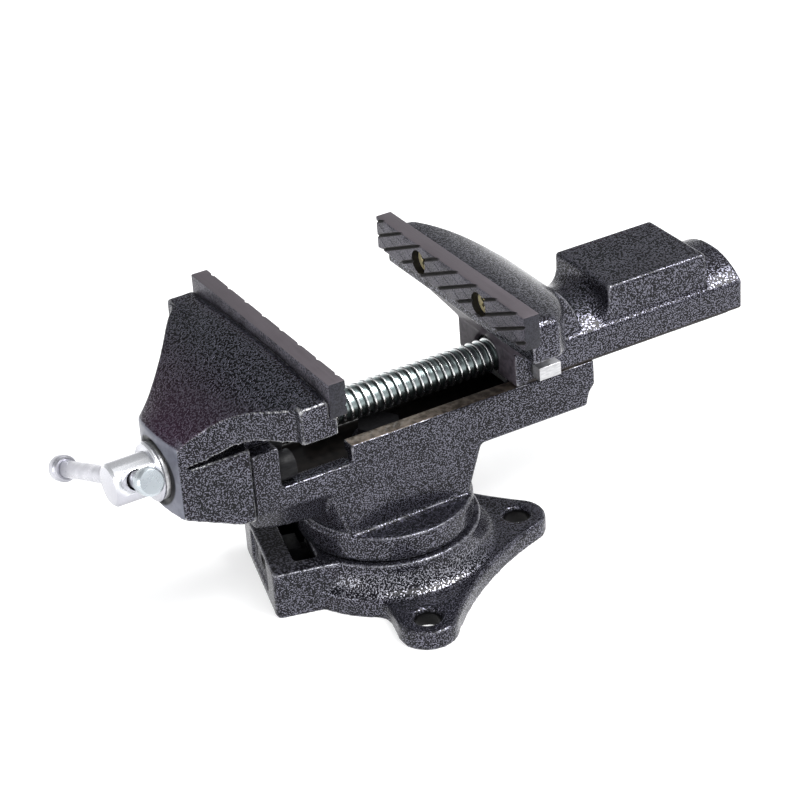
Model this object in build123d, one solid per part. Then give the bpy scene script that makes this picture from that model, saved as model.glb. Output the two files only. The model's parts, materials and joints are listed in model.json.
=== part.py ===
from build123d import *
import os
from math import hypot, sqrt

# Swivel bench vise with 125 mm jaws, handle at the front and anvil at the back.
# Millimetres. The origin is where the swivel axis meets the bench, +X runs from the handle to the anvil,
# +Z is up. The jaws stand nearly full open and the base is turned a little under the body.
# The U-shaped body carries the fixed front jaw. The rear jaw, anvil and tail are one casting that
# slides on the body's walls, drawn along by the spindle through a nut keyed into it.

# Cuts run past the faces they go through by this much
overrun = 6.0

# Shapes of bolt heads, and the turn from Z to another axis
hex_sides = 6
quarter_turn = 90.0

# Fits between pieces
shaft_fit = 0.08
slide_fit = 0.15
thread_fit = 0.05
seat_fit = 0.2
wall_gap = 0.4

# Jaw plates and the opening between them
jaw_width = 125.0
plate_thickness = 8.0
plate_height = 16.0
plate_edge = 0.6
jaw_rise = 57.0
front_grip_reach = 46.5
jaw_opening = 86.5
plate_screw_reach = 25.4
plate_screw_rise = 7.2
plate_screw_radius = 2.5
plate_screw_depth = 5.5
plate_screw_head_radius = 5.2
plate_screw_head_depth = 3.2
plate_screw_sink = 1.4

# U-shaped body
body_width = 49.0
body_front_reach = 74.5
body_rear_reach = 99.5
way_height = 80.0
body_depth = 22.0
body_nose_lift = 4.3
body_nose_rise_reach = 40.0
wall_thickness = 8.0
floor_thickness = 8.0
front_wall = 13.2
front_wall_rise = 11.5
notch_depth = 8.5
notch_end_reach = 26.8
rear_step_depth = 12.3
rear_step_inset = 3.0
rear_step_drop = 3.2
rear_corner_inset = 1.5
groove_depth = 3.2
groove_height = 4.2
body_edge = 1.0

# Belly under the front of the body, narrower than it, from the front wall back to the neck
belly_width = 35.0
belly_depth = 11.4
belly_reaches = (74.5, 62.0, 50.0, 40.0)
belly_rises = (7.4, 2.8, 0.6, 0.0)

# Swivel neck, disc and spigot under the body
disc_radius = 40.3
disc_thickness = 12.2
disc_edge = 0.8
neck_low_radius = 38.6
neck_high_radius = 45.6
spigot_radius = 27.0
spigot_pocket_radius = 21.0
spigot_pocket_ceiling = 14.0

# Base casting, in its own axes before it is turned
base_turn = -14.8
base_height = 23.0
base_lip_radius = 43.0
base_lip_drop = 2.5
base_core_radius = 49.5
ear_thickness = 9.0
ear_radius = 13.5
side_ear_reach = 65.5
rear_ear_reach = 61.5
ear_hole_radius = 6.0
ear_hole_bevel = 1.3
ear_edge = 1.2
ear_root_radius = 9.0
web_clear_radius = 52.5
base_shoulder = 6.1
base_pocket_radius = 33.0
lock_lug_reach = 60.0
lock_lug_width = 63.0
lock_lug_edge = 1.5
lock_pit_length = 10.0
lock_pit_width = 44.0
lock_pit_wall = 11.8
lock_pit_floor = 4.0
lock_window_width = 30.0
lock_window_height = 15.0
lock_window_depth = 1.6

# Pivot bolt, dished plate and nut
pivot_radius = 6.0
pivot_head_flats = 18.0
pivot_head_height = 7.5
pivot_seat_depth = 2.0
pivot_seat_radius = 12.0
pivot_nut_height = 9.6
pivot_plate_thickness = 3.0
pivot_plate_radius = 32.0
pivot_dish_radius = 20.0
pivot_tail = 0.6

# Swivel lock: screw, nut in the pit and shoe on the spigot
lock_height = 12.5
lock_screw_radius = 4.0
lock_screw_socket = 4.0
lock_screw_socket_depth = 5.0
lock_nut_flats = 13.0
lock_nut_thickness = 6.5
lock_shoe_radius = 5.5

# Fixed front jaw casting
nose_length = 34.7
nose_bow = 3.4
nose_half_width = 19.0
nose_shoulder_rise = 15.8
nose_shoulder_drop = 4.0
nose_toe_lift = 1.3
nose_toe_inset = 6.5
nose_toe_radius = 14.0
nose_foot_rise = 10.5
nose_top_rise = 25.0
nose_seat_radius = 14.8
nose_seat_depth = 1.6
roof_rise = 51.5
jaw_side_inset = 0.5
end_block_length = 13.5
end_block_foot_rise = 32.5
end_block_top_rise = 49.3
jaw_edge = 1.2
lip_reach = 3.4
lip_height = 8.2
seat_half_width = 18.0
seat_rib_width = 12.0
front_bore_slack = 1.2

# Fan of the front jaw, as shares from the plate to the nose, in half widths of the jaw and in drops
# of the roof from its height at the plate to the nose top
fan_along_shares = (0.0, 0.17, 0.29, 0.47, 0.65, 0.83, 1.0)
fan_width_shares = (0.985, 0.96, 0.875, 0.665, 0.475, 0.345, 0.3)
fan_crease_shares = (0.08, 0.11, 0.18, 0.32, 0.56, 0.89, 1.2)
fan_crown_shares = (0.12, 0.12, 0.11, 0.08, 0.07, 0.13, 0.2)
fan_under_shares = (0.7, 0.72, 0.76, 0.84, 1.12, 1.38, 1.5)

# Sliding jaw casting with saddle, anvil and tail
column_setback = 17.7
column_wall = 2.8
column_rise = 16.0
ledge_rise = 14.3
tail_reach = 182.0
tail_edge = 1.5
head_end_length = 10.0
head_depth = 36.0
dome_height = 36.5
dome_depth = 46.0
dome_edge = 5.0
corbel_rise = 33.0
corbel_foot_rise = 17.0
anvil_width = 44.6
anvil_rise = 33.1
anvil_front = 109.8
anvil_rear = 163.4
anvil_edge = 1.0
saddle_front = 80.0
saddle_radius = 7.0
crest_rise = 24.0
tunnel_radius = 9.6
keel_width = 32.6
keel_drop = 5.5

# Keeper strips under the keel, held by screws
strip_width = 9.4
strip_thickness = 3.4
strip_length = 36.0
strip_screw_radius = 1.6
strip_screw_head_radius = 3.0
strip_screw_head_depth = 1.8
strip_screw_length = 10.0
strip_screws = 3
strip_screw_inset = 6.0

# Spindle with head, flange, collar and pin
spindle_rise = 6.0
spindle_radius = 8.0
spindle_rear_reach = 94.0
spindle_end_chamfer = 1.5
head_radius = 9.7
head_length = 18.7
head_edge = 1.3
flange_radius = 13.4
flange_thickness = 2.4
flange_edge = 0.7
washer_radius = 13.0
washer_thickness = 2.0
collar_radius = 11.4
collar_length = 8.0
collar_edge = 0.5
collar_pin_radius = 2.0
lug_slot_radius = 9.2

# Nut and the keys that hold it in the sliding jaw
nut_length = 24.0
nut_width = 22.0
nut_height = 21.6
key_length = 11.4
key_height = 6.3
key_reach = 30.0
key_bite = 2.0

# Bolts that hold the front jaw to the body's front wall
jaw_bolt_radius = 4.0
jaw_bolt_head_radius = 6.5
jaw_bolt_head_length = 8.0
jaw_bolt_socket = 6.0
jaw_bolt_socket_depth = 4.0
jaw_bolt_length = 30.0
jaw_bolt_reach = 17.5
jaw_bolt_drop = 7.8

# Handle bar through the head, pushed to the far side and tilted as it hangs
handle_radius = 4.0
handle_setback = 8.5
handle_tilt = 23.0
handle_near_reach = 25.7
handle_far_reach = 89.6
knob_radius = 6.2
knob_length = 9.0
knob_neck_length = 2.0
knob_neck_radius = 5.2
knob_edge = 1.0
knob_bore_depth = 7.0

# Heights over the bench, worked out from the height of the ways
jaw_top = way_height + jaw_rise
body_bottom = way_height - body_depth
front_wall_height = way_height + front_wall_rise
notch_floor = way_height - notch_depth
rear_step_height = way_height - rear_step_depth
belly_foot = body_bottom - belly_depth
nose_shoulder = way_height + nose_shoulder_rise
nose_top = way_height + nose_top_rise
roof_height = way_height + roof_rise
end_block_foot = way_height + end_block_foot_rise
end_block_height = way_height + end_block_top_rise
column_top = way_height + column_rise
ledge_height = way_height + ledge_rise
corbel_height = way_height + corbel_rise
corbel_foot = way_height + corbel_foot_rise
anvil_height = way_height + anvil_rise
roof_crest = way_height + crest_rise
spindle_height = way_height + spindle_rise
jaw_bolt_height = spindle_height - jaw_bolt_drop

# Places worked out from the sizes above
front_grip_x = -front_grip_reach
rear_grip_x = front_grip_x + jaw_opening
front_seat_x = front_grip_x - plate_thickness
rear_seat_x = rear_grip_x + plate_thickness
plate_foot = jaw_top - plate_height
plate_screw_z = plate_foot + plate_screw_rise
casting_half = jaw_width / 2 - jaw_side_inset
body_half = body_width / 2
channel_half = body_half - wall_thickness
channel_floor = body_bottom + floor_thickness
body_front_x = -body_front_reach
front_wall_x = body_front_x + front_wall
nose_x = body_front_x - nose_length
disc_foot = base_height + slide_fit
disc_top = disc_foot + disc_thickness
keel_half = keel_width / 2
keel_foot = way_height - keel_drop
groove_top = keel_foot + slide_fit
groove_foot = groove_top - groove_height
column_x = rear_seat_x + column_setback - plate_thickness
slide_z = way_height + slide_fit
nut_x = column_x + column_wall
nut_middle_x = nut_x + nut_length / 2
nose_seat_x = nose_x + nose_seat_depth
washer_x = nose_seat_x - washer_thickness
flange_x = washer_x - flange_thickness
head_x = flange_x - head_length
handle_x = flange_x - handle_setback
roof_drop = roof_height - nose_top


def box(x0, x1, y0, y1, z0, z1):
    """Block between two corners."""
    return Pos((x0 + x1) / 2, (y0 + y1) / 2, (z0 + z1) / 2) * Box(x1 - x0, y1 - y0, z1 - z0)


def rod_x(radius, x0, x1, y=0, z=0):
    """Round bar along X."""
    return Pos((x0 + x1) / 2, y, z) * Rot(0, quarter_turn, 0) * Cylinder(radius, x1 - x0)


def rod_z(radius, z0, z1, x=0, y=0):
    """Round bar along Z."""
    return Pos(x, y, (z0 + z1) / 2) * Cylinder(radius, z1 - z0)


def side_cut(points, half):
    """Solid of an XZ outline, as wide as twice half along Y."""
    return extrude(Plane.XZ * make_face(Polyline(*points, close=True)), half, both=True)


def front_solid(points, x0, x1):
    """Solid of a YZ outline between two X values."""
    face = make_face(Polyline(*points, close=True))
    return extrude(Plane.YZ.offset(x0) * face, x1 - x0)


def hex_bar(flats, z0, z1):
    """Six-sided bar along Z."""
    return Pos(0, 0, z0) * extrude(RegularPolygon(flats / 2, hex_sides, major_radius=False), z1 - z0)


def hex_socket(flats, depth):
    """Six-sided bar along X from the origin, longer than its depth by the overrun."""
    return Rot(0, quarter_turn, 0) * hex_bar(flats, 0, depth + overrun)


def both_sides(shape):
    """The shape and its mirror image across the XZ plane."""
    return [shape, mirror(shape, about=Plane.XZ)]


def turned(shape):
    """From the base's own axes to its place under the body."""
    return Rot(0, 0, base_turn) * shape


def save(name, *solids):
    """One STEP file for a node, with all its solids."""
    shape = solids[0] if len(solids) == 1 else Compound(children=list(solids))
    shape.label = name
    export_step(shape, f"parts/{name}.step")


def web_circle(reach_a, reach_b):
    """Circle outside the base that touches both ears and leaves web_clear_radius at the core."""
    w, e = web_clear_radius, ear_radius
    const_a = (reach_a**2 + w**2 - e**2) / (2 * reach_a)
    const_b = (reach_b**2 + w**2 - e**2) / (2 * reach_b)
    slope_a, slope_b = (w - e) / reach_a, (w - e) / reach_b
    a = slope_a**2 + slope_b**2 - 1
    half_b = const_a * slope_a + const_b * slope_b - w
    c = const_a**2 + const_b**2 - w**2
    radii = [(side * sqrt(half_b**2 - a * c) - half_b) / a for side in (-1, 1)]
    radius = min(r for r in radii if r > 0)
    return const_b + slope_b * radius, -(const_a + slope_a * radius), radius


def ear_places():
    """Centres of the three bolt holes, near, rear and far."""
    return [(0, -side_ear_reach), (rear_ear_reach, 0), (0, side_ear_reach)]


def base_plate_outline():
    """Plan of the ears, the concave webs between them and the round core."""
    outline = Circle(base_core_radius)
    for x, y in ear_places():
        length, width = (x, 2 * ear_radius) if x else (2 * ear_radius, abs(y))
        outline += Pos(x / 2, y / 2) * Rectangle(length, width) + Pos(x, y) * Circle(ear_radius)
    cx, cy, radius = web_circle(side_ear_reach, rear_ear_reach)
    near_reach = hypot(cx, cy + side_ear_reach)
    rear_reach = hypot(cx - rear_ear_reach, cy)
    near_share, rear_share = ear_radius / near_reach, ear_radius / rear_reach
    near_touch = (cx * near_share, (cy + side_ear_reach) * near_share - side_ear_reach)
    rear_touch = ((cx - rear_ear_reach) * rear_share + rear_ear_reach, cy * rear_share)
    web = make_face(Polyline((0, 0), near_touch, rear_touch, close=True)) - Pos(cx, cy) * Circle(radius)
    return outline + web + mirror(web, about=Plane.XZ)


def base_blank():
    """Ears, skirt and core of the base, before the lug and the bores."""
    plate = extrude(base_plate_outline(), ear_thickness)
    upright = plate.edges().filter_by(Axis.Z)
    notches = [e for e in upright if e.center().X < 0 and abs(e.center().Y) > ear_radius]
    plate = fillet(notches, ear_root_radius)
    plate = chamfer(plate.faces().sort_by(Axis.Z)[-1].edges(), ear_edge)
    lip_foot = base_height - base_lip_drop
    profile = Polyline((0, 0), (base_core_radius, 0), (base_core_radius, ear_thickness))
    profile += ThreePointArc(
        (base_core_radius, ear_thickness),
        ((base_core_radius + base_lip_radius) / 2 - ear_edge, (ear_thickness + lip_foot) / 2 - ear_edge),
        (base_lip_radius, lip_foot),
    )
    profile += Polyline((base_lip_radius, lip_foot), (base_lip_radius, base_height), (0, base_height), (0, 0))
    return plate + revolve(Plane.XZ * make_face(profile), Axis.Z)


def lock_axis_rod(radius, x0, x1):
    """Round bar on the lock screw's axis, in the base's axes."""
    return rod_x(radius, x0, x1, 0, lock_height)


lock_face_x = -lock_lug_reach
lock_pit_x = lock_face_x + lock_pit_wall
lock_pit_end_x = lock_pit_x + lock_pit_length


def swivel_base():
    """Base casting: three bolt ears, concave skirt, lug with the lock's pit, stepped pivot bore."""
    lug = box(lock_face_x, 0, -lock_lug_width / 2, lock_lug_width / 2, 0, base_height)
    lug = fillet(lug.edges().filter_by(Axis.Z).sort_by(Axis.X)[:2], 2 * lock_lug_edge)
    base = base_blank() + lug
    base -= rod_z(spigot_radius + shaft_fit, -overrun, base_height + overrun)
    base -= rod_z(base_pocket_radius, -overrun, base_shoulder)
    half_pit = lock_pit_width / 2
    base -= box(lock_pit_x, lock_pit_end_x, -half_pit, half_pit, lock_pit_floor, base_height + overrun)
    window = box(
        lock_face_x - overrun, lock_face_x + lock_window_depth, -lock_window_width / 2, lock_window_width / 2,
        lock_height - lock_window_height / 2, lock_height + lock_window_height / 2,
    )
    base -= window + lock_axis_rod(lock_screw_radius + wall_gap, lock_face_x, lock_pit_x + overrun)
    base -= lock_axis_rod(lock_shoe_radius + shaft_fit, lock_pit_end_x - overrun, -spigot_radius + overrun)
    for x, y in ear_places():
        base -= rod_z(ear_hole_radius, -overrun, ear_thickness + overrun, x, y)
        bevel = Cone(ear_hole_radius, ear_hole_radius + ear_hole_bevel, ear_hole_bevel)
        base -= Pos(x, y, ear_thickness - ear_hole_bevel / 2) * bevel
    return turned(base)


def body_belly():
    """Tapered belly that carries the body's front down into the neck."""
    top = body_bottom + body_nose_lift
    under = [(-reach, belly_foot + rise) for reach, rise in zip(belly_reaches, belly_rises)]
    half = belly_width / 2
    section = [(-body_half, top), (-half, belly_foot), (half, belly_foot), (body_half, top)]
    side = [(body_front_x, top), *under, (0, belly_foot), (0, top)]
    return side_cut(side, body_half) & front_solid(section, body_front_x, 0)


def vise_body():
    """U-shaped body with its ways, notch, front wall and keeper grooves, on the neck, disc and spigot."""
    body = side_cut([
        (body_front_x, body_bottom + body_nose_lift),
        (-body_nose_rise_reach, body_bottom + rear_corner_inset / 2),
        (0, body_bottom),
        (body_rear_reach - rear_step_inset - rear_corner_inset, body_bottom),
        (body_rear_reach - rear_step_inset, rear_step_height - rear_step_drop),
        (body_rear_reach, rear_step_height),
        (body_rear_reach, way_height),
        (-notch_end_reach, way_height),
        (-notch_end_reach, notch_floor),
        (front_wall_x, notch_floor),
        (front_wall_x, front_wall_height),
        (body_front_x, front_wall_height),
    ], body_half)
    body = fillet(body.edges().filter_by(Axis.Y).group_by(Axis.Z)[-1], body_edge)
    body += body_belly()
    rear = body_rear_reach + overrun
    body -= box(front_wall_x, rear, -channel_half, channel_half, channel_floor, way_height + overrun)
    groove_half = channel_half + groove_depth
    body -= box(-notch_end_reach, rear, -groove_half, groove_half, groove_foot, groove_top)
    slot = rod_x(lug_slot_radius, body_front_x - overrun, front_wall_x + overrun, 0, spindle_height)
    slot += box(
        body_front_x - overrun, front_wall_x + overrun, -lug_slot_radius, lug_slot_radius,
        spindle_height, front_wall_height + overrun,
    )
    body -= slot
    for side in (-1, 1):
        body -= rod_x(
            jaw_bolt_radius + wall_gap, body_front_x - overrun, front_wall_x + overrun,
            side * jaw_bolt_reach, jaw_bolt_height,
        )
    neck_height = body_bottom + rear_corner_inset - disc_top
    neck = Pos(0, 0, disc_top + neck_height / 2) * Cone(neck_low_radius, neck_high_radius, neck_height)
    neck &= box(-neck_high_radius, neck_high_radius, -body_half, body_half, disc_top, body_bottom + overrun)
    disc = chamfer(rod_z(disc_radius, disc_foot, disc_top).edges().filter_by(GeomType.CIRCLE), disc_edge)
    body += neck + disc + rod_z(spigot_radius, base_shoulder + wall_gap, disc_foot + disc_edge)
    body -= rod_z(spigot_pocket_radius, 0, spigot_pocket_ceiling)
    body -= rod_z(pivot_radius + wall_gap, 0, channel_floor + overrun)
    body -= rod_z(pivot_seat_radius, channel_floor - pivot_seat_depth, channel_floor + overrun)
    return body


def fan_section(along, width, crease, crown, under):
    """Outline of the fan on the plane that lies this share of the way to the nose."""
    x = front_seat_x + (nose_x - front_seat_x) * along
    half = casting_half * width
    side_z = roof_height - roof_drop * crease
    foot_z = roof_height - roof_drop * under
    top = ThreePointArc((-half, side_z), (0, side_z + roof_drop * crown), (half, side_z))
    rest = Polyline((half, side_z), (half, foot_z), (-half, foot_z), (-half, side_z))
    return Plane.YZ.offset(x) * make_face(top + rest)


def jaw_fan():
    """Sloped fan from the full jaw width down to the nose."""
    tables = zip(fan_along_shares, fan_width_shares, fan_crease_shares, fan_crown_shares, fan_under_shares)
    return loft([fan_section(*shares) for shares in tables])


def nose_plan():
    """Plan of the nose, drawn in from the body's width and bowed at its face."""
    side_x = nose_x + nose_bow
    outline = Polyline((side_x, nose_half_width), (body_front_x, body_half), (front_seat_x, body_half))
    outline += Line((front_seat_x, body_half), (front_seat_x, -body_half))
    outline += Polyline((front_seat_x, -body_half), (body_front_x, -body_half), (side_x, -nose_half_width))
    return outline + ThreePointArc((side_x, -nose_half_width), (nose_x, 0), (side_x, nose_half_width))


def jaw_nose():
    """Block in front of the body that carries the spindle, rounded up to its face."""
    toe_x = body_front_x - nose_toe_inset
    toe_z = body_bottom + nose_toe_lift
    face_foot = toe_z + nose_foot_rise
    nose = side_cut([
        (toe_x, toe_z), (body_front_x, toe_z), (body_front_x, nose_shoulder),
        (nose_x, nose_shoulder - nose_shoulder_drop), (nose_x, face_foot),
    ], body_half)
    toe = [e for e in nose.edges().filter_by(Axis.Y) if abs(e.center().X - toe_x) < thread_fit]
    return fillet(toe, nose_toe_radius) & extrude(make_face(nose_plan()), nose_top)


def jaw_lip(seat_x, side, half):
    """Ledge below a jaw plate, on the grip side of the casting's seat."""
    x0, x1 = sorted((seat_x - side * jaw_edge, seat_x + side * lip_reach))
    return box(x0, x1, -half, half, plate_foot - lip_height, plate_foot - seat_fit)


def plate_screw_holes(seat_x, side):
    """Tapped holes behind a jaw plate."""
    x0, x1 = sorted((seat_x - side * overrun, seat_x + side * (plate_screw_depth + wall_gap)))
    hole = rod_x(plate_screw_radius + thread_fit, x0, x1, plate_screw_reach, plate_screw_z)
    return both_sides(hole)


def front_jaw():
    """Fixed front jaw: fan, end blocks, nose with the spindle bore, and the seat on the front wall."""
    block_x = front_seat_x - end_block_length
    block = box(block_x, front_seat_x, -casting_half, casting_half, end_block_foot, end_block_height)
    block = fillet(block.edges().filter_by(Axis.Z).group_by(Axis.X)[0], jaw_edge)
    block = fillet(block.faces().sort_by(Axis.Z)[-1].edges().filter_by(Axis.Y).sort_by(Axis.X)[0], jaw_edge)
    fan = jaw_fan() & extrude(make_face(fan_plan()), jaw_top)
    seat = box(
        body_front_x, front_wall_x, -seat_half_width, seat_half_width,
        front_wall_height, end_block_foot + jaw_edge,
    )
    rib = side_cut([
        (front_wall_x - jaw_edge, spindle_height + collar_radius + jaw_edge),
        (front_wall_x - jaw_edge, end_block_foot + jaw_edge),
        (front_seat_x + lip_reach, end_block_foot + jaw_edge),
    ], seat_rib_width / 2)
    jaw = fan + block + jaw_nose() + seat + rib + jaw_lip(front_seat_x, 1, casting_half)
    jaw -= rod_x(spindle_radius + shaft_fit, nose_x - overrun, body_front_x, 0, spindle_height)
    jaw -= rod_x(nose_seat_radius, nose_x - overrun, nose_seat_x, 0, spindle_height)
    jaw -= rod_x(lug_slot_radius + front_bore_slack, body_front_x, front_grip_x, 0, spindle_height)
    for hole in plate_screw_holes(front_seat_x, -1):
        jaw -= hole
    bolt_end_x = front_wall_x - jaw_bolt_length
    for side in (-1, 1):
        jaw -= rod_x(
            jaw_bolt_radius + thread_fit, bolt_end_x - wall_gap, front_wall_x,
            side * jaw_bolt_reach, jaw_bolt_height,
        )
    return jaw


def fan_plan():
    """Plan that trims the fan's tip to the bowed face of the nose."""
    side_x = nose_x + nose_bow
    outline = Polyline(
        (side_x, nose_half_width), (side_x, casting_half), (front_seat_x, casting_half),
        (front_seat_x, -casting_half), (side_x, -casting_half), (side_x, -nose_half_width),
    )
    return outline + ThreePointArc((side_x, -nose_half_width), (nose_x, 0), (side_x, nose_half_width))


def head_plan():
    """Plan of the rear jaw's head: short straight ends, then one sweep, with the neck's width running on."""
    end_x = rear_seat_x + head_end_length
    outline = Polyline(
        (end_x, casting_half), (rear_seat_x, casting_half),
        (rear_seat_x, -casting_half), (end_x, -casting_half),
    )
    outline += ThreePointArc((end_x, -casting_half), (rear_seat_x + head_depth, 0), (end_x, casting_half))
    neck = Pos(rear_seat_x + dome_depth / 2, 0) * Rectangle(dome_depth, anvil_width)
    return make_face(outline) + neck


def sliding_head():
    """Head of the rear jaw: a dome behind the plate, corbelled in to the column below."""
    head = extrude(head_plan(), jaw_top)
    dome_foot = roof_height - dome_height
    side = Pos(rear_seat_x, dome_foot) * Ellipse(dome_depth, dome_height)
    head &= extrude(Plane.XZ * side, jaw_width, both=True)
    high = [e for e in head.edges() if e.center().X > rear_seat_x + shaft_fit and e.center().Z > dome_foot]
    rim = [e for e in high if e.geom_type != GeomType.LINE or abs((e @ 0).Z - (e @ 1).Z) < thread_fit]
    head = fillet(rim, dome_edge)
    head &= front_solid([
        (-jaw_width, corbel_height), (-jaw_width, jaw_top),
        (jaw_width, jaw_top), (jaw_width, corbel_height),
        (casting_half, corbel_height), (body_half, corbel_foot), (body_half, way_height),
        (-body_half, way_height), (-body_half, corbel_foot), (-casting_half, corbel_height),
    ], rear_seat_x, rear_seat_x + 2 * head_depth)
    head -= side_cut([
        (rear_seat_x - overrun, corbel_height), (rear_seat_x, corbel_height),
        (column_x, column_top), (column_x, way_height - overrun),
        (rear_seat_x - overrun, way_height - overrun),
    ], jaw_width)
    return head


def arch_roof():
    """Rounded roof over the bar, from the saddle to the tail's end."""
    arch = ThreePointArc((-body_half, ledge_height), (0, roof_crest), (body_half, ledge_height))
    arch += Polyline(
        (body_half, ledge_height), (body_half, ledge_height - jaw_edge),
        (-body_half, ledge_height - jaw_edge), (-body_half, ledge_height),
    )
    return extrude(Plane.YZ.offset(saddle_front) * make_face(arch), tail_reach - saddle_front)


def roof_and_anvil():
    """Arched roof with the anvil standing on it, swept in at the anvil's front."""
    half = anvil_width / 2
    block = box(anvil_front, anvil_rear, -half, half, way_height + jaw_edge, anvil_height)
    block = chamfer(block.faces().sort_by(Axis.Z)[-1].edges(), anvil_edge)
    both = arch_roof() + block
    front_arcs = both.edges().filter_by(GeomType.CIRCLE).filter_by_position(
        Axis.X, anvil_front - thread_fit, anvil_front + thread_fit,
    )
    return fillet(front_arcs.sort_by(SortBy.LENGTH)[-1], saddle_radius)


def nut_pocket(slack):
    """Space of the spindle nut with this much slack, open below."""
    half = nut_width / 2 + slack
    top = spindle_height + nut_height / 2 + slack
    return box(nut_x - slack, nut_x + nut_length + slack, -half, half, keel_foot - overrun, top)


def key_bar(slack):
    """One key on the near side, from its bite in the nut out past the casting."""
    near, inner = -key_reach, -nut_width / 2 + key_bite
    half_length, half_height = key_length / 2 + slack, key_height / 2 + slack
    return box(
        nut_middle_x - half_length, nut_middle_x + half_length, near - slack, inner + slack,
        spindle_height - half_height, spindle_height + half_height,
    )


def sliding_jaw():
    """Sliding casting: column, head, saddle, anvil and hollow tail on a keel."""
    bar = box(column_x, tail_reach, -body_half, body_half, slide_z, ledge_height)
    bar = fillet(bar.faces().sort_by(Axis.X)[-1].edges().filter_by(Axis.Z), tail_edge)
    column = box(column_x, saddle_front + jaw_edge, -body_half, body_half, slide_z, corbel_foot + jaw_edge)
    keel = box(nut_x, tail_reach - tail_edge, -keel_half, keel_half, keel_foot, slide_z + jaw_edge)
    jaw = bar + column + keel + sliding_head() + roof_and_anvil()
    jaw += jaw_lip(rear_seat_x, -1, casting_half)
    tunnel_x = nut_x + nut_length
    jaw -= rod_x(tunnel_radius, tunnel_x, tail_reach + overrun, 0, spindle_height)
    jaw -= box(
        tunnel_x, tail_reach + overrun, -tunnel_radius, tunnel_radius,
        keel_foot - overrun, spindle_height,
    )
    jaw -= rod_x(spindle_radius + front_bore_slack, column_x - overrun, nut_x + overrun, 0, spindle_height)
    jaw -= nut_pocket(seat_fit)
    for key in both_sides(key_bar(slide_fit)):
        jaw -= key
    for hole in plate_screw_holes(rear_seat_x, 1):
        jaw -= hole
    for x, y in strip_screw_places():
        for side in (-1, 1):
            jaw -= rod_z(
                strip_screw_radius + thread_fit, keel_foot - overrun,
                keel_foot - strip_thickness + strip_screw_length + wall_gap, x, side * y,
            )
    return jaw


def jaw_plate(grip_x, side):
    """Hard jaw plate with a countersunk seat for each screw; side points away from the grip face."""
    x0, x1 = sorted((grip_x, grip_x + side * plate_thickness))
    plate = box(x0, x1, -jaw_width / 2, jaw_width / 2, plate_foot, jaw_top)
    plate = chamfer(plate.edges().filter_by(Axis.X), plate_edge)
    sink = plate_screw_sink + wall_gap
    for y in (-plate_screw_reach, plate_screw_reach):
        plate -= rod_x(plate_screw_radius + wall_gap, x0 - overrun, x1 + overrun, y, plate_screw_z)
        h0, h1 = sorted((grip_x - side * overrun, grip_x + side * (sink + plate_screw_head_depth)))
        plate -= rod_x(plate_screw_head_radius + wall_gap, h0, h1, y, plate_screw_z)
    return plate


def plate_screws(grip_x, side):
    """Two screws of a jaw plate, heads sunk in its counterbores."""
    under = grip_x + side * (plate_screw_sink + wall_gap + plate_screw_head_depth)
    crown = under - side * plate_screw_head_depth
    tip = grip_x + side * (plate_thickness + plate_screw_depth)
    head = rod_x(plate_screw_head_radius, *sorted((crown, under)), plate_screw_reach, plate_screw_z)
    shank = rod_x(plate_screw_radius, *sorted((under, tip)), plate_screw_reach, plate_screw_z)
    return both_sides(head + shank)


def spindle():
    """Screw with its journal, flange and head, cross-drilled for the handle."""
    shaft = rod_x(spindle_radius, washer_x, spindle_rear_reach, 0, spindle_height)
    shaft = chamfer(shaft.edges().sort_by(Axis.X)[-1], spindle_end_chamfer)
    flange = rod_x(flange_radius, flange_x, washer_x, 0, spindle_height)
    flange = chamfer(flange.edges().filter_by(GeomType.CIRCLE), flange_edge)
    head = rod_x(head_radius, head_x, flange_x, 0, spindle_height)
    head = chamfer(head.edges().sort_by(Axis.X)[0], head_edge)
    whole = shaft + flange + head
    whole -= handle_rod(handle_radius + shaft_fit, -head_radius - overrun, head_radius + overrun)
    whole -= collar_pin_rod(collar_pin_radius + thread_fit)
    return whole


def handle_rod(radius, low, high):
    """Round bar on the handle's axis between two distances from the spindle axis, far side positive."""
    return handle_place() * Pos(0, 0, (low + high) / 2) * Cylinder(radius, high - low)


def handle_place():
    """Place of the handle's axis: through the head, down towards the far side."""
    return Pos(handle_x, 0, spindle_height) * Rot(-quarter_turn - handle_tilt, 0, 0)


def handle_knob(end, side):
    """Turned end cap of the bar with a neck on its inner side."""
    inner = end - side * knob_length
    low, high = sorted((inner + side * knob_neck_length, end))
    cap = chamfer(handle_rod(knob_radius, low, high).edges().filter_by(GeomType.CIRCLE), knob_edge)
    low, high = sorted((inner, inner + side * (knob_neck_length + knob_edge)))
    neck = handle_rod(knob_neck_radius, low, high)
    low, high = sorted((inner - side * overrun, inner + side * (knob_bore_depth + thread_fit)))
    return cap + neck - handle_rod(handle_radius + thread_fit, low, high)


def handle_bar():
    """Plain bar between the two knobs."""
    near = -handle_near_reach + knob_length - knob_bore_depth
    far = handle_far_reach - knob_length + knob_bore_depth
    return handle_rod(handle_radius, near, far)


def thrust_washer():
    """Washer between the flange and the nose."""
    ring = rod_x(washer_radius, washer_x, nose_seat_x, 0, spindle_height)
    bore = rod_x(spindle_radius + shaft_fit, washer_x - overrun, nose_seat_x + overrun, 0, spindle_height)
    return ring - bore


def collar_pin_rod(radius):
    """Cross pin axis through the collar, along Z."""
    x = front_wall_x + slide_fit + collar_length / 2
    return rod_z(radius, spindle_height - collar_radius, spindle_height + collar_radius, x)


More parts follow.
